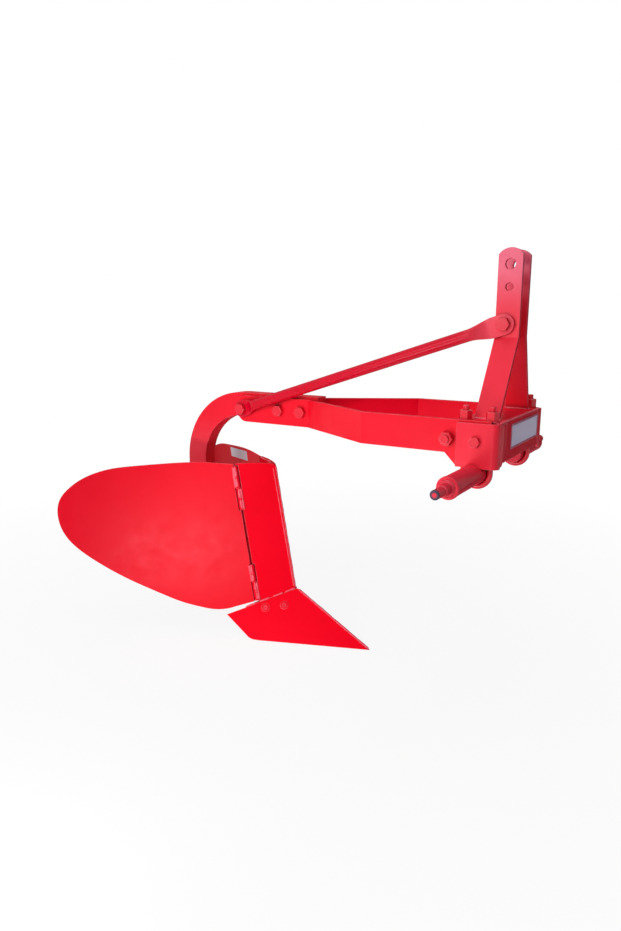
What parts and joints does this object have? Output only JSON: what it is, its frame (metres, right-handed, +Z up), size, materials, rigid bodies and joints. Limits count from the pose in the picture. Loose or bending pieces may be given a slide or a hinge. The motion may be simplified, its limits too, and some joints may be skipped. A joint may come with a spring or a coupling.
{
  "type": "ditching plough",
  "caption": "Tractor-mounted ditching plough with a V body, adjustable hinged wings, curved shank, twin-bar frame, stay and three-point hitch.",
  "frame": {"origin": "centre of the footprint of the whole plough, on the ground", "axes": "+X forward to the tractor, +Y to the plough's left, +Z up"},
  "size_m": [1.3263, 0.823, 1.128],
  "materials": {
    "red_paint": "gloss",
    "blank_plate": "satin",
    "plated_steel": "satin"
  },
  "bodies": {
    "frame": {"adjuster_bracket": "red_paint", "breast": "red_paint", "cheek_bolt_left": "red_paint", "cheek_bolt_right": "red_paint", "clamp_bolt_left": "plated_steel", "clamp_bolt_right": "plated_steel", "frog": "red_paint", "front_plate": "blank_plate", "headstock_deck": "red_paint", "headstock_rear_wall": "red_paint", "headstock_shell": "red_paint", "hinge_pintle_lower_left": "red_paint", "hinge_pintle_lower_right": "red_paint", "hinge_pintle_upper_left": "red_paint", "hinge_pintle_upper_right": "red_paint", "hitch_pin_left": "red_paint", "hitch_pin_right": "red_paint", "lug_bolt_left": "red_paint", "lug_bolt_right": "red_paint", "mast_left": "red_paint", "mast_right": "red_paint", "mast_spacer": "red_paint", "shank": "red_paint", "shank_bolt_front": "red_paint", "shank_bolt_rear": "red_paint", "share": "red_paint", "share_bolt_front_left": "red_paint", "share_bolt_front_right": "red_paint", "share_bolt_rear_left": "red_paint", "share_bolt_rear_right": "red_paint", "share_seat": "red_paint", "side_bar_left": "red_paint", "side_bar_right": "red_paint", "stay": "red_paint", "stay_bolt_front": "red_paint", "stay_bolt_rear": "red_paint", "ubolt_left": "red_paint", "ubolt_right": "red_paint"},
    "right_wing": {"wing_right": "red_paint", "hinge_barrel_upper_right": "red_paint", "hinge_barrel_lower_right": "red_paint", "wing_lug_right": "red_paint"},
    "right_adjuster": {"adjuster_right": "red_paint"},
    "left_wing": {"wing_left": "red_paint", "hinge_barrel_upper_left": "red_paint", "hinge_barrel_lower_left": "red_paint", "wing_lug_left": "red_paint"},
    "left_adjuster": {"adjuster_left": "red_paint"}
  },
  "joints": [
    {"name": "right_wing_hinge", "type": "hinge", "parent": "frame", "child": "right_wing", "pos_m": [-0.14875, -0.06864, 0.31395], "axis": [-0.1822, 0, 0.9833], "range_deg": [-5, 5]},
    {"name": "right_adjuster_pivot", "type": "hinge", "parent": "right_wing", "child": "right_adjuster", "pos_m": [-0.45717, -0.20702, 0.32289], "axis": [-0.1822, 0, 0.9833], "range_deg": [-2.3, 2.3]},
    {"name": "left_wing_hinge", "type": "hinge", "parent": "frame", "child": "left_wing", "pos_m": [-0.14875, 0.06864, 0.31395], "axis": [0.1822, 0, -0.9833], "range_deg": [-5, 5]},
    {"name": "left_adjuster_pivot", "type": "hinge", "parent": "left_wing", "child": "left_adjuster", "pos_m": [-0.45717, 0.20702, 0.32289], "axis": [0.1822, 0, -0.9833], "range_deg": [-2.3, 2.3]}
  ],
  "couplings": [
    {"joint": "right_adjuster_pivot", "follows": "right_wing_hinge", "ratio": 0.396},
    {"joint": "left_adjuster_pivot", "follows": "left_wing_hinge", "ratio": 0.396}
  ]
}
